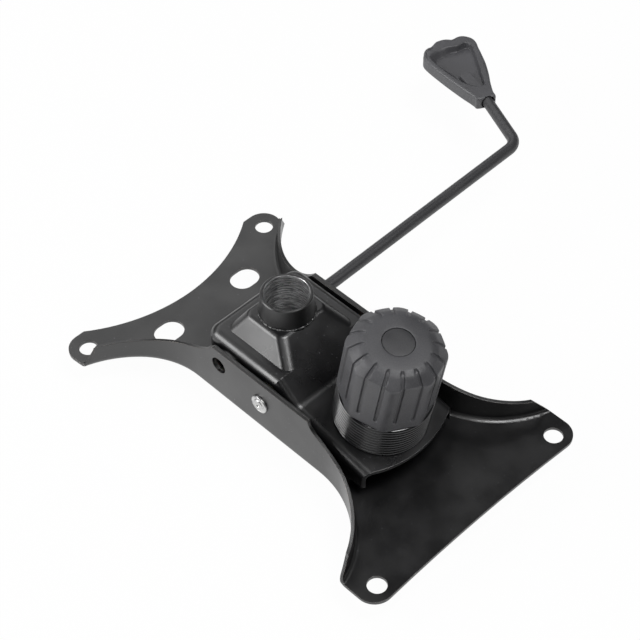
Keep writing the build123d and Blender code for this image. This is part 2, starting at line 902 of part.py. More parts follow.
# Release cam: a hub on the rod with a tongue that reaches under the column button.
hub_r = 5.5
hub_y = 12.0
tongue_tip_x = 6.0
tongue_wide = 14.0
tongue_low = 31.2
tongue_high = 34.2
tongue_tip_r = 4.0
flat_depth = 0.9
with BuildPart() as cam:
    with BuildSketch(across(hub_y)):
        with Locations((rod_x, rod_z)):
            Circle(hub_r)
    extrude(amount=2 * hub_y)
    with BuildSketch(Plane.XY.offset(tongue_low)):
        with Locations(((rod_x + tongue_tip_x) / 2, 0)):
            Rectangle(tongue_tip_x - rod_x, tongue_wide)
    extrude(amount=tongue_high - tongue_low)
    tips = [
        e
        for e in cam.edges().filter_by(Axis.Z)
        if abs((e @ 0.5).X - tongue_tip_x) < hair
    ]
    fillet(tips, tongue_tip_r)
    with BuildSketch(across(hub_y)):
        with Locations((rod_x, rod_z)):
            Circle(rod_r + fit)
        with Locations((rod_x, rod_z - rod_r - fit + flat_depth / 2)):
            Rectangle(2 * rod_r, flat_depth, mode=Mode.SUBTRACT)
    extrude(amount=2 * hub_y, mode=Mode.SUBTRACT)
save(cam.part, "release_cam")

# Lever rod: straight through the housing, a degree off line beyond it, then bent to the handle.
arm = Vector(-sin(radians(arm_turn)), cos(radians(arm_turn)), 0)
bend_at = Vector(rod_bend_x, rod_bend_y, rod_z)
neck_at = bend_at + arm * arm_len
rod_tip = neck_at + arm * grip_depth
with BuildPart() as rod:
    with BuildLine() as path:
        FilletPolyline(
            (rod_x, rod_end_y, rod_z),
            (rod_x, rod_straight_y, rod_z),
            (rod_bend_x, rod_bend_y, rod_z),
            (rod_tip.X, rod_tip.Y, rod_z),
            radius=rod_bend_r,
        )
    with BuildSketch(Plane(origin=(rod_x, rod_end_y, rod_z), z_dir=(0, 1, 0))):
        Circle(rod_r)
    sweep()
    # Flat that turns the cam.
    flat_end_y = 22.0
    with BuildSketch(across(flat_end_y)):
        with Locations((rod_x, rod_z - rod_r + flat_depth / 2 + fit / 2)):
            Rectangle(2 * rod_r, flat_depth + fit)
    extrude(amount=flat_end_y - rod_end_y, mode=Mode.SUBTRACT)
save(rod.part, "lever_rod")

# Retaining ring on the rod.
clip_y = 27.2
clip_r = 6.2
clip_t = 1.2
with BuildPart() as clip:
    with BuildSketch(across(clip_y)):
        with Locations((rod_x, rod_z)):
            Circle(clip_r)
            Circle(rod_r, mode=Mode.SUBTRACT)
    extrude(amount=clip_t)
save(clip.part, "lever_clip")

# Handle: a shield shaped paddle with a scalloped end, a dished face and a rib at its neck.
# Points are pairs of the distance along the paddle from its neck, and across it.
grip_low = -4.9
grip_high = 4.9
grip_step = 1.2
grip_full = 0.98
grip_slim = 0.936
hole_lead = 6.0
dish_floor = 1.5
rib_top = 3.9
rib_mid = (20.0, 2.7)
rib_gap = 17.6
rib_wide = 8.4
rib_turn = 9.7
grip_mid = (40.0, 3.0)
near_side = (
    (0.3, 5.2),
    (7.1, 8.8),
    (13.6, 12.0),
    (21.6, 15.5),
    (32.4, 19.9),
    (44.0, 24.1),
    (54.6, 26.8),
    (58.6, 25.4),
)
grip_end = (
    (58.6, 25.4),
    (62.6, 23.8),
    (65.2, 20.0),
    (65.8, 17.4),
    (69.4, 12.8),
    (70.6, 7.6),
    (69.2, 0.8),
    (70.4, -5.6),
    (68.0, -12.2),
    (60.0, -15.8),
)
far_side = (
    (60.0, -15.8),
    (49.5, -15.1),
    (33.4, -13.7),
    (24.0, -11.9),
    (15.9, -9.8),
    (7.1, -8.0),
    (0.3, -6.8),
)
dish_edge = (
    (14.0, 3.6),
    (22.0, 9.2),
    (32.0, 13.8),
    (44.0, 18.6),
    (51.5, 20.8),
    (57.2, 15.7),
    (60.2, 5.5),
    (61.2, -4.5),
    (57.5, -10.6),
    (44.3, -9.6),
    (29.8, -7.4),
    (14.0, -3.9),
)


grip_way = Vector(-sin(radians(grip_turn)), cos(radians(grip_turn)), 0)


def grip_plane(height):
    """Level plane at this height from the rod's axis, with X along the paddle."""
    return Plane(origin=(grip_x, grip_y, rod_z + height), x_dir=grip_way, z_dir=(0, 0, 1))


def slimmed(points, share):
    """The same outline drawn in towards the middle of the paddle."""
    mid_x, mid_y = grip_mid
    return [(mid_x + (x - mid_x) * share, mid_y + (y - mid_y) * share) for x, y in points]


with BuildPart() as handle:
    for low, high, share in (
        (grip_low, grip_high - grip_step, grip_full),
        (grip_high - grip_step, grip_high, grip_slim),
    ):
        with BuildSketch(grip_plane(low)):
            with BuildLine():
                near = Spline(*slimmed(near_side, share))
                end = Spline(*slimmed(grip_end, share))
                far = Spline(*slimmed(far_side, share))
                Line(far @ 1, near @ 0)
            make_face()
        extrude(amount=high - low)
    with BuildSketch(grip_plane(dish_floor)):
        with BuildLine():
            dish = Spline(*slimmed(dish_edge, grip_full))
            Line(dish @ 1, dish @ 0)
        make_face()
    extrude(amount=grip_high - dish_floor, mode=Mode.SUBTRACT)
    with BuildSketch(grip_plane(dish_floor)):
        with Locations(rib_mid):
            SlotCenterToCenter(rib_gap, rib_wide, rotation=rib_turn)
    extrude(amount=rib_top - dish_floor)
    # Blind hole for the rod.
    with BuildSketch(Plane(origin=neck_at - arm * hole_lead, z_dir=(arm.X, arm.Y, 0))):
        Circle(rod_r)
    extrude(amount=grip_depth + hole_lead, mode=Mode.SUBTRACT)
save(handle.part, "lever_handle")
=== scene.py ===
"""Office chair tilt mechanism, lying on its seat plate.

Metres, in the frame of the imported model: Z out of the gas lift socket, X to the front of the
chair, Y toward the lever.
"""

import bmesh
import bpy
import numpy as np
from mathutils import Matrix, Vector


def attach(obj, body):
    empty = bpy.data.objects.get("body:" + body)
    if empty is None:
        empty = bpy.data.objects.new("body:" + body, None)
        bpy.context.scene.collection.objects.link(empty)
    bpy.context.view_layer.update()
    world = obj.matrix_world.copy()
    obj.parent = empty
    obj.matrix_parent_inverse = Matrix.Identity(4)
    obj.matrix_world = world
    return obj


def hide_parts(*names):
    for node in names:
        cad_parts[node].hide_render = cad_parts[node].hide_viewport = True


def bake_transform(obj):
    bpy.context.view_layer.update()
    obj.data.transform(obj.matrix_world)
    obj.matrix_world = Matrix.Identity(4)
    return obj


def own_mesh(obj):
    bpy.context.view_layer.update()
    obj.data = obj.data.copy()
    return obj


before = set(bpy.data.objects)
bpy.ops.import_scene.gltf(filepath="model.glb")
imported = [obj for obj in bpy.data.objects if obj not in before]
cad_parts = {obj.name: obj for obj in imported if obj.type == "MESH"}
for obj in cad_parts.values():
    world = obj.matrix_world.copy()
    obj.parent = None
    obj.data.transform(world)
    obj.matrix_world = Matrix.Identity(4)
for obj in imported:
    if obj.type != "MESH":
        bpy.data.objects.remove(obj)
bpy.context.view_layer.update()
mm = 0.001

# Camera: a long lens from the front right and above, at the place and roll fitted to the four
# bolt holes of the seat plate.
camera_place = Vector((0.565551, -0.513923, 0.887640))
camera_right = Vector((0.701821, 0.712226, -0.013464)).normalized()
camera_ahead = Vector((-0.48633, 0.465243, -0.739616)).normalized()
camera_up = camera_right.cross(camera_ahead).normalized()
camera_lens = bpy.data.cameras.new("camera")
camera_lens.sensor_width = 36.0
camera_lens.lens = 105.551
camera_lens.clip_start = 0.05
camera_lens.clip_end = 50.0
camera = bpy.data.objects.new("camera", camera_lens)
bpy.context.scene.collection.objects.link(camera)
camera_turn = Matrix((camera_right, camera_up, -camera_ahead)).transposed()
camera.matrix_world = Matrix.Translation(camera_place) @ camera_turn.to_4x4()
bpy.context.scene.camera = camera
bpy.context.scene.view_settings.view_transform = "Standard"

# Seat plate: one pressing of 2 mm sheet steel, its sides bent up into flanges, dipped in
# semi-gloss black paint. The sheared edges show a thin bare line.


def wire(tree, target, values):
    """Fills a node's inputs, each from another node's output or with a plain value."""
    for socket, value in values.items():
        if isinstance(value, bpy.types.NodeSocket):
            tree.links.new(value, target.inputs[socket])
        else:
            target.inputs[socket].default_value = value


def node(tree, kind, values=None, **settings):
    """One shader node with these inputs and settings."""
    made = tree.nodes.new("ShaderNode" + kind)
    for name, value in settings.items():
        setattr(made, name, value)
    wire(tree, made, values or {})
    return made


def effect(name, inputs, outputs):
    """An empty shader node group with these inputs and outputs, and its two end nodes."""
    tree = bpy.data.node_groups.new(name, "ShaderNodeTree")
    for way, sockets in (("INPUT", inputs), ("OUTPUT", outputs)):
        for label, kind in sockets.items():
            tree.interface.new_socket(name=label, in_out=way, socket_type="NodeSocket" + kind)
    return tree, tree.nodes.new("NodeGroupInput"), tree.nodes.new("NodeGroupOutput")


def placed(tree, group, values):
    """A node group put into a material, with its own values."""
    return node(tree, "Group", values, node_tree=group)


def finish_tree(name):
    """A new material: its node tree, its shader, and its place on the object."""
    material = bpy.data.materials.new(name)
    material.use_nodes = True
    tree = material.node_tree
    shader = tree.nodes["Principled BSDF"]
    place = node(tree, "TexCoord").outputs["Object"]
    return material, tree, shader, place


def maths(tree, operation, first, second=0.0, clamp=False):
    """One arithmetic step on two values."""
    values = {0: first, 1: second}
    return node(tree, "Math", values, operation=operation, use_clamp=clamp).outputs[0]


def ramp(tree, value, low, high, to_low=0.0, to_high=1.0):
    """Smooth change from to_low to to_high as the value passes from low to high."""
    values = {0: value, 1: low, 2: high, 3: to_low, 4: to_high}
    return node(tree, "MapRange", values, interpolation_type="SMOOTHSTEP").outputs[0]


def tint(tree, share, first, second):
    """Mix of two colours."""
    return node(tree, "Mix", {0: share, 6: first, 7: second}, data_type="RGBA").outputs[2]


def noise(tree, place, scale, detail=2.0, roughness=0.5):
    """Value of a noise texture, mostly between 0.3 and 0.7."""
    values = {"Vector": place, "Scale": scale, "Detail": detail, "Roughness": roughness}
    return node(tree, "TexNoise", values).outputs[0]


def relief(tree, shader, height, rounded=None):
    """Bump from a height in metres, over the normal of the rounded edges if it is given."""
    bump = node(tree, "Bump", {"Distance": 1.0, "Height": height})
    if rounded is not None:
        tree.links.new(rounded, bump.inputs["Normal"])
    tree.links.new(bump.outputs[0], shader.inputs["Normal"])


def coat(finish, *names):
    """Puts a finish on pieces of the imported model, in place of what they have."""
    for name in names:
        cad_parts[name].data.materials.clear()
        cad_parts[name].data.materials.append(finish)


# Dipped paint: orange peel, slow changes of gloss, and a few specks of dust in the film.
paint_film, film_in, film_out = effect(
    "dipped_paint",
    {"Place": "Vector", "Peel": "Float", "Rough": "Float"},
    {"Height": "Float", "Roughness": "Float", "Specks": "Float", "Shade": "Float"},
)
film_place = film_in.outputs["Place"]
peel = noise(paint_film, film_place, 420.0)
wave = noise(paint_film, film_place, 38.0, 3.0)
dent = noise(paint_film, film_place, 17.0, 1.0)
speck = noise(paint_film, film_place, 900.0, 0.0)
dent_deep = 0.42 * mm
peel_height = maths(paint_film, "MULTIPLY", peel, film_in.outputs["Peel"])
dent_height = maths(paint_film, "MULTIPLY", dent, dent_deep)
gloss_change = ramp(paint_film, wave, 0.3, 0.7, -0.045, 0.06)
wire(paint_film, film_out, {
    "Height": maths(paint_film, "ADD", peel_height, dent_height),
    "Roughness": maths(paint_film, "ADD", film_in.outputs["Rough"], gloss_change),
    "Specks": ramp(paint_film, speck, 0.835, 0.86),
    "Shade": ramp(paint_film, wave, 0.25, 0.75, 0.82, 1.18),
})

# Worn edge: where the rounded normal leaves the flat one, broken up along its length.
worn_edge, edge_in, edge_out = effect(
    "worn_edge",
    {"Place": "Vector", "Rounded": "Vector", "Start": "Float", "Breaks": "Float"},
    {"Mask": "Float"},
)
mask_steepness = 6.0
flat_normal = node(worn_edge, "NewGeometry").outputs["True Normal"]
normals = {0: edge_in.outputs["Rounded"], 1: flat_normal}
agree = node(worn_edge, "VectorMath", normals, operation="DOT_PRODUCT").outputs["Value"]
apart = maths(worn_edge, "SUBTRACT", 1.0, agree)
uneven = noise(worn_edge, edge_in.outputs["Place"], 160.0, 3.0)
breaks = maths(worn_edge, "MULTIPLY", uneven, edge_in.outputs["Breaks"])
start_at = maths(worn_edge, "ADD", edge_in.outputs["Start"], breaks)
over = maths(worn_edge, "SUBTRACT", apart, start_at)
wire(worn_edge, edge_out, {
    "Mask": maths(worn_edge, "MULTIPLY", over, mask_steepness, clamp=True),
})


def painted_steel(name, colour, rough, bare, edge_r, more_height=None, bare_from=-1.0):
    """Black painted sheet with thin bare edges, but none below the height bare_from. more_height
    adds relief of its own."""
    material, tree, shader, place = finish_tree(name)
    film = placed(tree, paint_film, {"Place": place, "Peel": 0.012 * mm, "Rough": rough})
    rounded = node(tree, "Bevel", {"Radius": edge_r}, samples=6).outputs[0]
    edges = {"Place": place, "Rounded": rounded, "Start": 0.06, "Breaks": 0.3}
    worn = placed(tree, worn_edge, edges).outputs["Mask"]
    up = node(tree, "SeparateXYZ", {0: place}).outputs[2]
    above = ramp(tree, up, bare_from - 1.0 * mm, bare_from + 1.0 * mm)
    worn = maths(tree, "MULTIPLY", worn, above)
    height = film.outputs["Height"]
    if more_height:
        height = maths(tree, "ADD", height, more_height(tree, place))
    relief(tree, shader, height, rounded)
    shading = {"Color": colour, "Value": film.outputs["Shade"]}
    shaded = node(tree, "HueSaturation", shading).outputs[0]
    dusty = tint(tree, film.outputs["Specks"], shaded, (0.10, 0.10, 0.11, 1))
    rougher = maths(tree, "MULTIPLY", worn, 0.12)
    wire(tree, shader, {
        "Base Color": tint(tree, worn, dusty, bare),
        "Roughness": maths(tree, "ADD", film.outputs["Roughness"], rougher),
        "Metallic": maths(tree, "MULTIPLY", worn, 0.7),
        "Specular IOR Level": 1.0,
    })
    return material


def pressed_relief(tree, place):
    """Height of the shallow raised field that the press leaves in front of the housing. It
    widens toward the front."""
    widening = 0.34
    field_high = 0.5 * mm
    soft_edge = 7.0 * mm
    parts = node(tree, "SeparateXYZ", {0: place})
    along = parts.outputs[0]
    side = maths(tree, "ABSOLUTE", parts.outputs[1])
    inside = maths(tree, "SUBTRACT", maths(tree, "MULTIPLY", along, widening), side)
    field = ramp(tree, inside, -soft_edge, soft_edge, 0.0, field_high)
    begin = ramp(tree, along, 98.0 * mm, 118.0 * mm)
    return maths(tree, "MULTIPLY", field, begin)


plate_paint = (0.0055, 0.0055, 0.0060, 1)
seat_black = painted_steel(
    "seat_black", plate_paint, rough=0.33, bare=(0.30, 0.26, 0.23, 1), edge_r=0.5 * mm,
    more_height=pressed_relief,
)
flange_black = painted_steel(
    "flange_black", plate_paint, rough=0.33, bare=(0.22, 0.21, 0.20, 1), edge_r=0.5 * mm
)
coat(seat_black, "seat_plate")
coat(flange_black, "flange_doubler_right", "flange_doubler_left", "bolt_anchor")

# Rest pads: two blocks of moulded rubber glued to the plate under the front of the housing.


def mottled(name, scale, detail, dark, light, rough, blend_over=(0.3, 0.7), high=None):
    """A material whose colour and roughness follow one noise, and its relief as well where high
    says how high that is."""
    material, tree, shader, place = finish_tree(name)
    cloud = noise(tree, place, scale, detail)
    wire(tree, shader, {
        "Base Color": tint(tree, ramp(tree, cloud, *blend_over), dark, light),
        "Roughness": ramp(tree, cloud, 0.3, 0.7, *rough),
    })
    if high is not None:
        relief(tree, shader, maths(tree, "MULTIPLY", cloud, high))
    return material, tree, shader, place


rubber, *_ = mottled(
    "pad_rubber", 300.0, 4.0, (0.016, 0.016, 0.016, 1), (0.045, 0.044, 0.042, 1),
    rough=(0.62, 0.85), blend_over=(0.4, 0.75), high=0.05 * mm,
)
coat(rubber, "rest_pads")

# Housing: deep drawn 2 mm sheet with a raised boss, in the same black paint, a little glossier
# than the plate. The brace inside it is spot welded and gets the same coat.
housing_black = painted_steel(
    "housing_black", (0.0048, 0.0048, 0.0054, 1), rough=0.30, bare=(0.30, 0.30, 0.30, 1),
    edge_r=0.6 * mm, bare_from=19.0 * mm,
)
coat(housing_black, "housing", "housing_brace")

# Gas lift socket: a turned steel tube, painted outside. Its taper bore is left bare, with the
# marks of the boring tool running round it, and painted shade darkens it with depth.


def streaks(tree, place, scales, detail=2.0, roughness=0.5):
    """Noise of a different scale along each axis, drawn out along the axis with the least."""
    stretched = node(tree, "Mapping", {"Vector": place, "Scale": scales}).outputs[0]
    return noise(tree, stretched, 1.0, detail, roughness)


bore_r = 14.25 * mm
socket_finish, tree, shader, place = finish_tree("socket_steel")
parts = node(tree, "SeparateXYZ", {0: place})
square_x = maths(tree, "MULTIPLY", parts.outputs[0], parts.outputs[0])
square_y = maths(tree, "MULTIPLY", parts.outputs[1], parts.outputs[1])
radius = maths(tree, "SQRT", maths(tree, "ADD", square_x, square_y))
in_bore = ramp(tree, radius, bore_r - 0.12 * mm, bore_r + 0.1 * mm, 1.0, 0.0)
film = placed(tree, paint_film, {"Place": place, "Peel": 0.012 * mm, "Rough": 0.36})
rounded = node(tree, "Bevel", {"Radius": 0.5 * mm}, samples=6).outputs[0]
edges = {"Place": place, "Rounded": rounded, "Start": 0.05, "Breaks": 0.35}
worn = placed(tree, worn_edge, edges).outputs["Mask"]
fine_rings = streaks(tree, place, (22.0, 22.0, 2300.0), 3.0, 0.75)
coarse_rings = streaks(tree, place, (60.0, 60.0, 700.0))
tone_rings = streaks(tree, place, (150.0, 150.0, 1500.0), 4.0, 0.7)
fine_height = maths(tree, "MULTIPLY", fine_rings, 0.10 * mm)
coarse_height = maths(tree, "MULTIPLY", coarse_rings, 0.16 * mm)
bore_height = maths(tree, "ADD", fine_height, coarse_height)
relief(tree, shader, tint(tree, in_bore, film.outputs["Height"], bore_height), rounded)
bright_share = ramp(tree, tone_rings, 0.38, 0.62)
# Painted shade: toward the bottom of the bore the steel tone is mixed down to a near-black colour.
painted_shade_fade = ramp(tree, parts.outputs[2], 38.0 * mm, 60.0 * mm, 0.3, 1.0)
steel_tone = tint(tree, bright_share, (0.22, 0.22, 0.23, 1), (1.0, 1.0, 1.0, 1))
steel_tone = tint(tree, painted_shade_fade, (0.012, 0.012, 0.013, 1), steel_tone)
paint_tone = tint(tree, worn, (0.0035, 0.0035, 0.004, 1), (0.4, 0.39, 0.38, 1))
bore_rough = ramp(tree, coarse_rings, 0.3, 0.7, 0.26, 0.42)
wire(tree, shader, {
    "Base Color": tint(tree, in_bore, paint_tone, steel_tone),
    "Metallic": maths(tree, "MULTIPLY", maths(tree, "MAXIMUM", in_bore, worn), 0.8),
    "Roughness": tint(tree, in_bore, film.outputs["Roughness"], bore_rough),
    "Specular IOR Level": 1.0,
})
coat(socket_finish, "gas_lift_socket")

# Weld: a thin, uneven bead round the foot of the socket, painted over. Its size wavers with the
# turn, in three waves that don't fall together.


def grid_piece(name, points, finish, close_rows=False, close_columns=False, sharp=40.0):
    """Mesh over a grid of points, rows by columns by 3: one four-sided face to each cell.
    Doubled points, as at a pole, are merged, and the faces are turned outward."""
    rows, columns = points.shape[:2]
    index = np.arange(rows * columns).reshape(rows, columns)
    if close_columns:
        index = np.concatenate([index, index[:, :1]], axis=1)
    if close_rows:
        index = np.concatenate([index, index[:1]], axis=0)
    faces = np.stack([index[:-1, :-1], index[:-1, 1:], index[1:, 1:], index[1:, :-1]], axis=-1)
    mesh = bpy.data.meshes.new(name)
    mesh.from_pydata(points.reshape(-1, 3).tolist(), [], faces.reshape(-1, 4).tolist())
    work = bmesh.new()
    work.from_mesh(mesh)
    bmesh.ops.remove_doubles(work, verts=work.verts, dist=0.000002)
    bmesh.ops.recalc_face_normals(work, faces=work.faces)
    work.to_mesh(mesh)
    work.free()
    mesh.polygons.foreach_set("use_smooth", np.ones(len(mesh.polygons), dtype=bool))
    mesh.set_sharp_from_angle(angle=np.radians(sharp))
    mesh.materials.append(finish)
    piece = bpy.data.objects.new(name, mesh)
    bpy.context.scene.collection.objects.link(piece)
    return piece


def full_turn(count):
    """Angles once round in equal steps, without the last."""
    return np.linspace(0, 2 * np.pi, count, endpoint=False)


weld_mid_r, weld_mid_z, weld_mean = 17.35 * mm, 58.0 * mm, 0.75 * mm
weld_turn = full_turn(220)[None, :]
weld_round = full_turn(12)[:, None]
weld_size = weld_mean * (
    1 + 0.22 * np.sin(23 * weld_turn) + 0.16 * np.sin(41 * weld_turn + 1.0)
    + 0.12 * np.sin(67 * weld_turn + 2.0)
)
weld_r = weld_mid_r + weld_size * np.cos(weld_round)
weld_z = weld_mid_z + weld_size * np.sin(weld_round)
weld_points = np.stack([weld_r * np.cos(weld_turn), weld_r * np.sin(weld_turn), weld_z], axis=-1)
weld = grid_piece("socket_weld", weld_points, housing_black, True, True)
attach(weld, "base_housing")

# Tilt pin: a zinc plated steel rivet through both flanges, its ends upset into stepped heads
# with a dimple from the riveting tool.


def turned_profile(corners, rounding, steps=5):
    """A line of (radius, height) corners with each inner one rounded by a curve that starts and
    ends this far from it: the points of a quadratic curve with the corner as its handle."""
    most_of_side = 0.45
    corners = np.array(corners, float)
    line = [corners[:1]]
    t = np.linspace(0, 1, steps)[:, None]
    for before, at, after in zip(corners[:-2], corners[1:-1], corners[2:]):
        back = min(rounding, most_of_side * np.linalg.norm(at - before))
        on = min(rounding, most_of_side * np.linalg.norm(after - at))
        start = at + (before - at) / np.linalg.norm(before - at) * back
        end = at + (after - at) / np.linalg.norm(after - at) * on
        line.append((1 - t) ** 2 * start + 2 * t * (1 - t) * at + t**2 * end)
    line.append(corners[-1:])
    return np.concatenate(line)


zinc, tree, shader, place = mottled(
    "zinc_plate", 260.0, 4.0, (0.42, 0.42, 0.43, 1), (0.72, 0.72, 0.71, 1), rough=(0.24, 0.42)
)
shader.inputs["Metallic"].default_value = 1.0
scratch = streaks(tree, place, (900.0, 900.0, 220.0))
relief(tree, shader, maths(tree, "MULTIPLY", scratch, 0.02 * mm))

pin_x, pin_z = 21.0 * mm, 25.0 * mm
flange_out_y = 43.7 * mm
head_profile = turned_profile(
    [(0.0, 1.35), (1.5, 1.5), (1.9, 2.2), (3.7, 2.3), (4.1, 1.55), (4.8, 1.5), (5.1, 1.8),
     (6.0, 1.6), (6.3, 0.9), (6.3, 0.0), (3.95, 0.0), (3.95, -8.0)],
    0.25,
    4,
)
head_r = head_profile[:, 0][:, None] * mm
head_out = head_profile[:, 1][:, None] * mm
pin_turn = full_turn(96)[None, :]
wobble = 1 + 0.006 * np.sin(3 * pin_turn) + 0.004 * np.sin(7 * pin_turn + 1)
near_end = np.stack(
    [
        pin_x + head_r * wobble * np.cos(pin_turn),
        -flange_out_y - head_out + 0 * pin_turn,
        pin_z + head_r * wobble * np.sin(pin_turn),
    ],
    axis=-1,
)
far_end = near_end[::-1] * np.array([1.0, -1.0, 1.0])
tilt_pin = grid_piece(
    "tilt_pin_riveted", np.concatenate([near_end, far_end]), zinc, close_columns=True, sharp=50.0
)
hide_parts("tilt_pin")
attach(tilt_pin, "seat_frame")

# Small plated steel parts inside: cross pin, washers, spring cup, nut, retaining ring, release
# cam and the spacer tube on the tilt pin.
coat(
    zinc, "bolt_cross_pin", "spring_seat", "spring_cup", "thrust_washer", "knob_nut", "lever_clip",
    "release_cam", "pivot_tube",
)

# Bushes: moulded natural nylon, faintly see-through, pressed into the walls of the housing.
nylon, _, shader, _ = mottled(
    "natural_nylon", 120.0, 3.0, (0.46, 0.44, 0.38, 1), (0.58, 0.56, 0.50, 1),
    rough=(0.36, 0.5), high=0.04 * mm,
)
shader.inputs["Subsurface Weight"].default_value = 0.15
shader.inputs["Subsurface Scale"].default_value = 2.0 * mm
coat(nylon, "tilt_bush_right", "tilt_bush_left", "lever_bush_right", "lever_bush_left")

# Tension spring and bolt: oiled spring steel wire wound round a black oxide bolt, both hidden by
# the boot and the knob. The spring's upper coils ride with the bolt, the lower ones stay in place.
lean = np.radians(10.0)
axis_foot = np.array([0.0786, 0.0, 0.0269])
axis_dir = np.array([np.sin(lean), 0.0, np.cos(lean)])
axis_side = np.array([np.cos(lean), 0.0, -np.sin(lean)])
axis_across = np.array([0.0, 1.0, 0.0])


def round_axis(radius, turn, height):
    """Points at this radius, turn and height round the leaning tension axis."""
    radius, turn, height = np.broadcast_arrays(radius, turn, height)
    return (
        axis_foot
        + height[..., None] * axis_dir
        + (radius * np.cos(turn))[..., None] * axis_side
        + (radius * np.sin(turn))[..., None] * axis_across
    )


spring_steel, _, shader, _ = mottled(
    "oiled_spring_steel", 500.0, 4.0, (0.05, 0.05, 0.052, 1), (0.13, 0.125, 0.12, 1),
    rough=(0.3, 0.5), high=0.03 * mm,
)
shader.inputs["Metallic"].default_value = 0.9
coat(spring_steel, "tension_bolt")

coil_low, coil_high = 4.8 * mm, 47.2 * mm
coil_turns, coil_r, wire_r = 5.0, 19.0 * mm, 2.7 * mm
coil_split, coil_steps = 0.56, 40


def coil_piece(name, first, last):
    """A tube along a helix, between two shares of its length. The section is a circle set by
    the helix's radius direction and the axis, and both ends are closed."""
    share = np.linspace(first, last, int(coil_steps * coil_turns * (last - first)) + 2)[:, None]
    share = np.concatenate([share[:1], share, share[-1:]])
    thick = np.full(share.shape, wire_r)
    thick[0], thick[-1] = 0.0, 0.0
    section = full_turn(14)[None, :]
    height = coil_low + (coil_high - coil_low) * share + thick * np.sin(section)
    points = round_axis(
        coil_r + thick * np.cos(section), 2 * np.pi * coil_turns * share, height
    )
    piece = grid_piece(name, points, spring_steel, close_columns=True)
    return piece


lower_coils = coil_piece("spring_lower_coils", 0.0, coil_split)
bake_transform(lower_coils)
upper_coils = coil_piece("spring_upper_coils", coil_split, 1.0)
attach(upper_coils, "bolt")
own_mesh(upper_coils)
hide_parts("tension_spring")

# Boot: soft black plastic bellows round the spring, with ten glossy round ribs. Its upper three
# ribs ride with the bolt as it draws the knob down, the lower seven stay in place.
boot_plastic, tree, shader, place = mottled(
    "boot_plastic", 190.0, 4.0, (0.006, 0.006, 0.007, 1), (0.013, 0.013, 0.014, 1),
    rough=(0.13, 0.22), blend_over=(0.35, 0.75),
)
shader.inputs["Specular IOR Level"].default_value = 0.9
fine = noise(tree, place, 2200.0)
relief(tree, shader, maths(tree, "MULTIPLY", fine, 0.004 * mm))

rib_pitch = 2.62 * mm
rib_root_r, rib_crest_r, boot_inner_r = 27.6 * mm, 29.3 * mm, 26.6 * mm
rib_rows, rib_squareness = 12, 0.62
boot_waver = 0.0012


def boot_piece(name, first_rib, last_rib):
    """A ribbed ring closed on itself: round crests from one rib to another on the outside, each
    half of a squared-off sine, and a plain wall inside."""
    count = last_rib - first_rib
    step = np.arange(count * rib_rows + 1) / rib_rows
    crest = np.abs(np.sin(np.pi * step)) ** rib_squareness
    outer_r = rib_root_r + (rib_crest_r - rib_root_r) * crest
    outer_h = (first_rib + step) * rib_pitch
    inner_h = outer_h[::-6]
    profile_r = np.concatenate([outer_r, np.full(len(inner_h), boot_inner_r)])
    profile_h = np.concatenate([outer_h, inner_h])
    turn = full_turn(176)[None, :]
    waver = 1 + boot_waver * np.sin(3 * turn + 0.7)
    points = round_axis(profile_r[:, None] * waver, turn, profile_h[:, None])
    piece = grid_piece(name, points, boot_plastic, True, True, 75.0)
    return piece


lower_ribs = boot_piece("boot_lower_ribs", 0, 7)
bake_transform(lower_ribs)
upper_ribs = boot_piece("boot_upper_ribs", 7, 10)
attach(upper_ribs, "bolt")
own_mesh(upper_ribs)
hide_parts("spring_boot")

# Tension knob: one moulding in spark-grained dark plastic, eight sides with sixteen finger
# grooves that start on the sloping crown and stop short of the lower rim.
moulded_grain, grain_in, grain_out = effect(
    "moulded_grain",
    {"Place": "Vector", "Grain": "Float"},
    {"Height": "Float", "Roughness": "Float", "Shade": "Float"},
)
pits = noise(moulded_grain, grain_in.outputs["Place"], 1500.0, 3.0, 0.65)
flow = noise(moulded_grain, grain_in.outputs["Place"], 55.0, 3.0)
flow_shade = ramp(moulded_grain, flow, 0.3, 0.7, 0.9, 1.12)
pit_shade = ramp(moulded_grain, pits, 0.3, 0.7, 0.8, 1.2)
wire(moulded_grain, grain_out, {
    "Height": maths(moulded_grain, "MULTIPLY", pits, grain_in.outputs["Grain"]),
    "Roughness": ramp(moulded_grain, flow, 0.3, 0.7, 0.4, 0.54),
    "Shade": maths(moulded_grain, "MULTIPLY", flow_shade, pit_shade),
})


def moulded_plastic(name, colour, grain):
    """Dark plastic with a fine spark-eroded grain of this height."""
    material, tree, shader, place = finish_tree(name)
    surface = placed(tree, moulded_grain, {"Place": place, "Grain": grain})
    shading = {"Color": colour, "Value": surface.outputs["Shade"]}
    wire(tree, shader, {
        "Base Color": node(tree, "HueSaturation", shading).outputs[0],
        "Roughness": surface.outputs["Roughness"],
        "Specular IOR Level": 0.8,
    })
    relief(tree, shader, surface.outputs["Height"])
    return material


knob_plastic = moulded_plastic("knob_plastic", (0.052, 0.052, 0.057, 1), 0.13 * mm)

# Measures of the knob in millimetres: heights along the axis, then radii and roundings.
knob_phase = np.radians(-5.0)
knob_low, rim_h, crown_h, lip_h = 26.6, 68.4, 75.0, 75.65
seam_floor_h, roof_h = 72.8, 50.0
corner_reach, corner_round = 30.2, 7.0
flat_reach = corner_reach * np.cos(np.pi / 8)
crown_r, seam_r, inner_r = 21.5, 9.75, 25.6
seam_round, crown_round, rim_round, foot_round = 0.3, 3.2, 0.9, 0.5
dome_rise, dome_mid_r, dome_half = 0.35, 15.6, 5.9
groove_half, groove_deep, groove_soft = 1.05, 1.2, 0.5
groove_start, groove_stop = 2.6, 7.6
groove_turn = np.radians(11.2)
column_r = 28.0

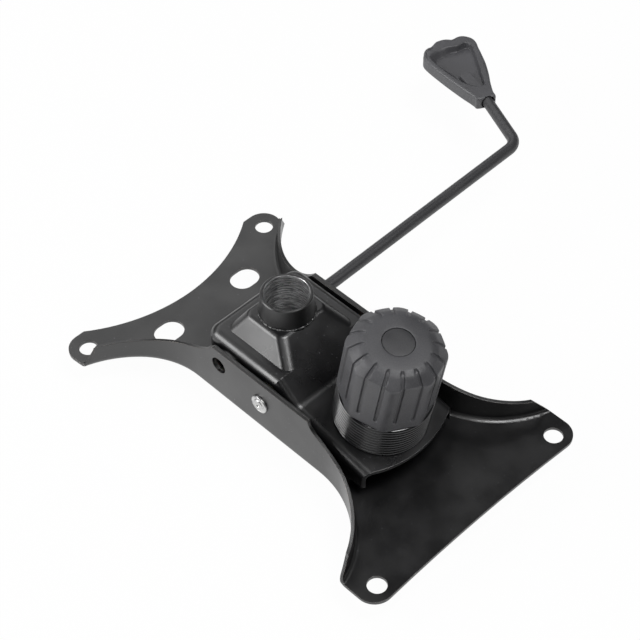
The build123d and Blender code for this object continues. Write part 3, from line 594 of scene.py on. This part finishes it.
# Columns crowd together at the walls of the grooves, in millimetres from each groove's middle.
beside = np.array([0, 0.35, 0.62, 0.78, 0.9, 1.0, 1.1, 1.25, 1.5, 2.1, 2.9, 3.8, 4.7])
beside = np.concatenate([-beside[:0:-1], beside]) / column_r
groove_at = np.radians(45.0) * np.arange(8)[:, None] + np.radians(22.5)
groove_at = (groove_at + np.array([-groove_turn, groove_turn])).ravel()
knob_turn = np.sort((groove_at[:, None] + beside).ravel())


def lobed_radius(turn):
    """Radius of an octagon whose corners, at turn zero, are rounded: the flat, or where it is
    less, the circle that rounds the nearest corner."""
    from_flat = (turn % (np.pi / 4)) - np.pi / 8
    flat = flat_reach / np.cos(from_flat)
    from_corner = np.abs(from_flat) - np.pi / 8
    flat_to_centre = flat_reach - corner_round
    centre = flat_to_centre / np.cos(np.pi / 8)
    under_root = corner_round**2 - (centre * np.sin(from_corner)) ** 2
    reach = centre * np.cos(from_corner) + np.sqrt(np.maximum(under_root, 0.0))
    on_flat = flat_reach * np.abs(np.tan(from_flat)) < flat_to_centre * np.tan(np.pi / 8)
    return np.where(on_flat, flat, reach)


def bend_rows(before, at, after, reach, steps):
    """Rows that round the corner of a profile: a quadratic curve that starts and ends this far
    from it. Each argument is a pair (radius, height) for every column."""
    back, on = before - at, after - at
    start = at + back / np.linalg.norm(back, axis=-1, keepdims=True) * reach
    end = at + on / np.linalg.norm(on, axis=-1, keepdims=True) * reach
    t = np.linspace(0, 1, steps)[:, None, None]
    return (1 - t) ** 2 * start + 2 * t * (1 - t) * at + t**2 * end


side_r = lobed_radius(knob_turn)
fall = (crown_h - rim_h) / (corner_reach - rim_round - crown_r)
edge_h = crown_h - (side_r - crown_r) * fall
columns = len(knob_turn)


def ring_of(radius, height):
    """The same or a changing radius and height for every column."""
    return np.stack(np.broadcast_arrays(radius, height, np.zeros(columns))[:2], axis=-1)


def between(first, second, shares):
    """Rows in straight line between two rings, at these shares of the way."""
    t = np.array(shares)[:, None, None]
    return (1 - t) * first + t * second


# Rows run from the middle of the cap's seat out over the crown, down the side and back in under
# the roof. They crowd together on the side where the grooves stop.
stop_end = 0.88
seam_floor = ring_of(seam_r, seam_floor_h)
seam_lip = ring_of(seam_r, lip_h)
crown_rim = ring_of(crown_r, crown_h)
side_top = ring_of(side_r, edge_h)
side_foot = ring_of(side_r, knob_low)
foot_in = ring_of(inner_r, knob_low)
start_rows = np.stack([ring_of(0.0, seam_floor_h - 0.1), seam_floor])
end_rows = np.stack([foot_in, ring_of(inner_r, roof_h), ring_of(0.0, roof_h)])
seam_rows = bend_rows(seam_floor, seam_lip, crown_rim, seam_round, 4)
crown_rows = bend_rows(seam_lip, crown_rim, side_top, crown_round, 8)
rim_rows = bend_rows(crown_rim, side_top, side_foot, rim_round, 7)
foot_rows = bend_rows(side_top, side_foot, foot_in, foot_round, 4)
flat_rows = between(seam_rows[-1], crown_rows[0], np.linspace(0, 1, 8)[1:-1])
slope_rows = between(crown_rows[-1], rim_rows[0], np.linspace(0, 1, 26)[1:-1])
upper_rows = between(rim_rows[-1], foot_rows[0], np.linspace(0, 0.72, 24)[1:])
stop_rows = between(rim_rows[-1], foot_rows[0], np.linspace(0.735, stop_end, 26))
lower_rows = between(rim_rows[-1], foot_rows[0], np.linspace(stop_end, 1, 4)[1:-1])
knob_rows = np.concatenate([
    start_rows, seam_rows, flat_rows, crown_rows, slope_rows, rim_rows, upper_rows, stop_rows,
    lower_rows, foot_rows, end_rows,
])

# The crown is faintly domed between the seam and its rim.
dome = dome_rise * np.clip(1 - ((knob_rows[..., 0] - dome_mid_r) / dome_half) ** 2, 0, 1)
on_crown = knob_rows[..., 1] > crown_h - seam_round
knob_rows[..., 1] += np.where(on_crown, dome, 0.0)

# Grooves: each point near a groove's line sinks along the normal of its profile.
first_row = len(start_rows) + len(seam_rows) + len(flat_rows)
foot_row = len(knob_rows) - len(end_rows) - len(foot_rows)
steps_along = np.linalg.norm(np.diff(knob_rows, axis=0), axis=-1)
along = np.concatenate([np.zeros((1, columns)), np.cumsum(steps_along, axis=0)])
groove_from = along[first_row] + groove_start
groove_to = along[foot_row] - groove_stop
away = (knob_turn[:, None] - groove_at[None, :] + np.pi) % (2 * np.pi) - np.pi
away = np.abs(away).min(axis=1)
across = away * knob_rows[..., 0]
past = np.maximum(np.maximum(groove_from - along, along - groove_to), 0.0)
inside = (groove_half - np.hypot(across, past)) / groove_soft
inside = np.clip(inside + 0.5, 0, 1)
cut = groove_deep * inside * inside * (3 - 2 * inside)
cut[:first_row] = 0.0
cut[foot_row + 1:] = 0.0
tangent = np.gradient(knob_rows, axis=0)
tangent /= np.maximum(np.linalg.norm(tangent, axis=-1, keepdims=True), 1e-9)
knob_rows[..., 0] += cut * tangent[..., 1]
knob_rows[..., 1] -= cut * tangent[..., 0]

knob_points = round_axis(
    knob_rows[..., 0] * mm, (knob_turn + knob_phase)[None, :], knob_rows[..., 1] * mm
)
knob = grid_piece("knob_moulding", knob_points, knob_plastic, close_columns=True, sharp=58.0)
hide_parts("knob_shell")
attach(knob, "knob")

# Cap: a plain disc in a darker, finer grained plastic, snapped into the knob's middle. A dark
# seam is left round it.
cap_plastic = moulded_plastic("cap_plastic", (0.030, 0.030, 0.033, 1), 0.05 * mm)
cap_profile = turned_profile(
    [(0.0, 75.55), (5.0, 75.52), (9.52, 75.4), (9.52, 73.0), (0.0, 73.0)], 0.35, 5
)
cap_r = cap_profile[:, 0][:, None] * mm
cap_h = cap_profile[:, 1][:, None] * mm
cap_points = round_axis(cap_r, full_turn(96)[None, :], cap_h)
cap = grid_piece("knob_cap_disc", cap_points, cap_plastic, close_columns=True, sharp=50.0)
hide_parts("knob_cap")
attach(cap, "knob")

# Lever rod: 8 mm drawn bar, bent once, dipped in black paint that is thin and a little streaky.
# It has no worn edges.
rod_black, tree, shader, place = finish_tree("rod_black")
film = placed(tree, paint_film, {"Place": place, "Peel": 0.012 * mm, "Rough": 0.38})
streak = streaks(tree, place, (700.0, 40.0, 700.0))
streak_share = ramp(tree, streak, 0.35, 0.75)
streak_height = maths(tree, "MULTIPLY", streak, 0.008 * mm)
wire(tree, shader, {
    "Base Color": tint(
        tree, streak_share, (0.044, 0.044, 0.047, 1), (0.058, 0.058, 0.061, 1)
    ),
    "Roughness": film.outputs["Roughness"],
})
relief(tree, shader, maths(tree, "ADD", film.outputs["Height"], streak_height))
coat(rod_black, "lever_rod")

# Lever handle: a moulded paddle pressed on the rod, with a dished face for the fingers, a
# scalloped rim at the end and a raised rib where the rod goes in.
handle_plastic = moulded_plastic("handle_plastic", (0.070, 0.070, 0.076, 1), 0.05 * mm)
rod_axis_z = 30.0
neck_at = np.array([-60.6, 247.6])
paddle_way = np.radians(63.0)
paddle_ahead = np.array([-np.sin(paddle_way), np.cos(paddle_way)])
paddle_left = np.array([np.cos(paddle_way), np.sin(paddle_way)])
paddle_mid = np.array([40.0, -3.0])
paddle_share = 0.98


def drawn_in(points):
    """Points of the paddle brought a little toward its middle."""
    return paddle_mid + paddle_share * (np.array(points) - paddle_mid)


# Outlines of the paddle and its dish in millimetres, along it from its neck and across it.
paddle_outline = drawn_in([
    (0.3, -5.0), (3.5, -7.0), (7.1, -8.6), (13.6, -11.8), (21.6, -15.3), (32.4, -19.7),
    (44.0, -23.9), (50.5, -25.9), (54.6, -26.6), (57.4, -26.1), (58.6, -25.2), (60.6, -24.6),
    (63.6, -22.4), (65.0, -19.8), (65.2, -18.2), (66.9, -15.6), (69.4, -12.6), (70.3, -9.4),
    (70.4, -5.6), (69.4, -2.4), (68.6, -0.6), (69.2, 2.0), (70.2, 5.0), (69.9, 8.6),
    (67.8, 12.0), (64.6, 14.6), (60.0, 15.6), (54.0, 15.1), (49.5, 14.9), (40.0, 14.3),
    (33.4, 13.5), (24.0, 11.7), (15.9, 9.6), (7.1, 7.9), (3.0, 7.3), (0.3, 6.9),
])
dish_outline = drawn_in([
    (14.0, -3.6), (22.0, -9.2), (32.0, -13.8), (44.0, -18.6), (50.6, -20.9), (54.6, -20.2),
    (57.2, -15.7), (58.6, -11.9), (60.2, -5.5), (59.8, 0.0), (60.6, 4.0), (61.6, 7.2),
    (59.8, 10.2), (54.7, 10.9), (44.3, 9.6), (29.8, 7.4), (20.3, 5.7), (13.6, 3.9),
])


def outline_radius(points, turn):
    """Distance from the paddle's middle to an outline, at each turn. The outline is the closed
    cubic curve through its points whose slope at each is half the step between its neighbours."""
    t = np.linspace(0, 1, 24, endpoint=False)[:, None, None]
    points = points - paddle_mid
    before, at, on, after = (np.roll(points, shift, axis=0) for shift in (1, 0, -1, -2))
    curve = at + t / 2 * (on - before) + t**2 / 2 * (2 * before - 5 * at + 4 * on - after)
    curve = curve + t**3 / 2 * (3 * at - before - 3 * on + after)
    curve = curve.reshape(-1, 2)
    bearing = np.arctan2(curve[:, 1], curve[:, 0])
    order = np.argsort(bearing)
    far = np.hypot(curve[:, 0], curve[:, 1])
    return np.interp(turn, bearing[order], far[order], period=2 * np.pi)


# Columns crowd together round the neck, where the rod goes in.
neck_first, neck_last = -0.27, 0.12
plain_turn = np.linspace(-np.pi + neck_last, np.pi + neck_first, 250)
neck_turn = np.linspace(np.pi + neck_first, np.pi + neck_last, 92)[1:-1]
paddle_turn = np.concatenate([plain_turn, neck_turn])
edge_reach = outline_radius(paddle_outline, paddle_turn)
dish_reach = outline_radius(dish_outline, paddle_turn)

# Rows: rings out over the top by share of the outline's reach, down the wall, back underneath.
top_share = np.concatenate([np.linspace(0, 0.9, 70), np.linspace(0.906, 0.985, 14)])
top_round = np.radians(np.linspace(10, 90, 7))
wall_height = np.linspace(2.6, -3.7, 20)
low_round = np.radians(np.linspace(10, 90, 6))
low_share = np.linspace(0.93, 0, 16)
top_level, low_level = 4.8, -4.8
round_top, round_low = 2.0, 1.0
ring_reach = np.concatenate([
    top_share[:, None] * (edge_reach - round_top),
    edge_reach - round_top + round_top * np.sin(top_round)[:, None],
    edge_reach + 0 * wall_height[:, None],
    edge_reach - round_low + round_low * np.cos(low_round)[:, None],
    low_share[:, None] * (edge_reach - round_low),
])
ring_level = np.concatenate([
    np.full(len(top_share), top_level),
    top_level - round_top + round_top * np.cos(top_round),
    wall_height,
    low_level + round_low - round_low * np.sin(low_round),
    np.full(len(low_share), low_level),
])[:, None] + 0 * edge_reach
ring_along = paddle_mid[0] + ring_reach * np.cos(paddle_turn)
ring_across = paddle_mid[1] + ring_reach * np.sin(paddle_turn)


def ease(value):
    """Smooth step from 0 to 1."""
    value = np.clip(value, 0, 1)
    return value * value * (3 - 2 * value)


# Dish: inside the rim a wall, steep on the far side and long on the near one, then a floor that
# rises toward the neck. Half of what the near wall is longer lies outside the dish's outline.
far_wall, more_wall = 1.2, 4.5
floor_low, floor_rise = -0.8, 2.0
wall_run = far_wall + more_wall * ease((-2.0 - ring_across) / 10.0)
in_dish = ease((dish_reach + 0.5 * (wall_run - far_wall) - ring_reach) / wall_run)
floor_level = floor_low + floor_rise * ease((50.0 - ring_along) / 36.0)

# Finger notches: the rim dips where the outline does.
notch_deep, notch_wide = 1.3, 3.0
notch_dip = np.zeros_like(ring_along)
for notch_along, notch_across in ((58.2, -25.4), (65.0, -18.6), (68.8, -0.6)):
    off_notch = (ring_along - notch_along) ** 2 + (ring_across - notch_across) ** 2
    notch_dip += notch_deep * np.exp(-off_notch / notch_wide**2)

# Rib: a raised bar with round ends, nearly level with the rim, from the neck into the dish.
rib_start, rib_end = np.array([11.0, -1.2]), np.array([28.5, -4.2])
rib_high, rib_fall, rib_half, rib_soft = 4.4, 0.8, 4.9, 1.2
rib_way = rib_end - rib_start
rib_share = (
    (ring_along - rib_start[0]) * rib_way[0] + (ring_across - rib_start[1]) * rib_way[1]
) / (rib_way @ rib_way)
rib_share = np.clip(rib_share, 0, 1)
rib_off = np.hypot(
    ring_along - rib_start[0] - rib_share * rib_way[0],
    ring_across - rib_start[1] - rib_share * rib_way[1],
)
rib_level = (rib_high - rib_fall * rib_share) * ease((rib_half - rib_off) / rib_soft)
carved = np.maximum(floor_level, rib_level)
on_top = np.arange(len(ring_level))[:, None] < len(top_share)
ring_level = np.where(
    on_top, ring_level + (carved - ring_level) * in_dish - notch_dip * (1 - in_dish), ring_level
)

# Socket for the rod: the end wall is set in round it, which leaves a dark gap. The rod enters
# the paddle at a slight slant.
rod_across = 1.84 - 0.0647 * ring_along
gap_r, gap_soft, gap_deep = 4.9, 0.6, 5.0
from_rod = np.hypot(ring_across - rod_across, ring_level)
at_neck = (ring_along < 8.0) & (ring_level < 4.6)
set_in = gap_deep * ease((gap_r - from_rod) / gap_soft)
ring_along = ring_along + np.where(at_neck, set_in, 0.0)

paddle_flat = (
    neck_at
    + ring_along[..., None] * paddle_ahead
    + ring_across[..., None] * paddle_left
)
paddle_points = np.concatenate([paddle_flat, (rod_axis_z + ring_level)[..., None]], axis=-1) * mm
handle = grid_piece("lever_paddle", paddle_points, handle_plastic, close_columns=True, sharp=60.0)
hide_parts("lever_handle")
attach(handle, "lever")

# Floor: a plain white sheet under the mechanism. The camera and reflections see it as white, and
# it keeps a faint shadow. It lies a little below the seat plate, because the handle dips below
# the plate when the tilt and the lever are both at their limits.
floor_mesh = bpy.data.meshes.new("floor")
floor_reach = 6.0
floor_z = -16.5 * mm
white_share = 0.97
floor_mesh.from_pydata(
    [
        (-floor_reach, -floor_reach, floor_z),
        (floor_reach, -floor_reach, floor_z),
        (floor_reach, floor_reach, floor_z),
        (-floor_reach, floor_reach, floor_z),
    ],
    [],
    [(0, 1, 2, 3)],
)
floor = bpy.data.objects.new("floor", floor_mesh)
bpy.context.scene.collection.objects.link(floor)
white_floor, tree, shader, _ = finish_tree("white_floor")
wire(tree, shader, {
    "Base Color": (0.85, 0.85, 0.85, 1),
    "Roughness": 0.9,
    "Specular IOR Level": 0.0,
})
glow = node(tree, "Emission", {"Color": (1, 1, 1, 1), "Strength": 1.0})
seen = node(tree, "LightPath")
seen_white = maths(tree, "MAXIMUM", seen.outputs["Is Camera Ray"], seen.outputs["Is Glossy Ray"])
seen_white = maths(tree, "MAXIMUM", seen_white, seen.outputs["Is Transmission Ray"])
glow_share = maths(tree, "MULTIPLY", seen_white, white_share)
shine = node(tree, "MixShader", {0: glow_share, 1: shader.outputs[0], 2: glow.outputs[0]})
wire(tree, tree.nodes["Material Output"], {"Surface": shine.outputs[0]})
floor_mesh.materials.append(white_floor)

# Light: a long soft box overhead at the left of the picture, a key box lower on the left, a small
# one high on the right and a weak one behind the camera. The room is dark above and grey near the
# floor, but the camera sees it as white.


def soft_box(name, place, toward, wide, deep, watts):
    """A rectangular lamp that faces a point."""
    lamp = bpy.data.lights.new(name, "AREA")
    lamp.shape = "RECTANGLE"
    lamp.size = wide
    lamp.size_y = deep
    lamp.energy = watts
    made = bpy.data.objects.new(name, lamp)
    bpy.context.scene.collection.objects.link(made)
    facing = (Vector(toward) - Vector(place)).to_track_quat("-Z", "Y")
    made.matrix_world = Matrix.Translation(Vector(place)) @ facing.to_matrix().to_4x4()


# The first one faces straight down. Its point is a hair to one side, so that its turn is set.
soft_box(
    "overhead_box", (-1.12, 0.05, 1.0), (-1.12, 0.05001, 0.0), wide=1.0, deep=2.6, watts=10.0
)
soft_box("key_box", (-0.85, -1.2, 0.78), (-0.05, 0.0, 0.03), wide=0.9, deep=0.9, watts=15.0)
soft_box("top_box", (0.55, 0.15, 1.5), (0.05, 0.0, 0.0), wide=0.7, deep=0.7, watts=15.0)
soft_box("shoulder_box", (0.95, -1.15, 1.6), (0.0, 0.0, 0.0), wide=0.9, deep=0.9, watts=3.0)
room = bpy.data.worlds.new("room")
room.use_nodes = True
room_tree = room.node_tree
room_way = node(room_tree, "TexCoord").outputs["Generated"]
room_up = node(room_tree, "SeparateXYZ", {0: room_way}).outputs[2]
room_shade = ramp(room_tree, room_up, 0.03, 0.36, 0.35, 0.02)
room_seen = node(room_tree, "LightPath").outputs["Is Camera Ray"]
wire(room_tree, room_tree.nodes["Background"], {
    "Color": tint(room_tree, room_seen, room_shade, (1, 1, 1, 1)),
})
bpy.context.scene.world = room
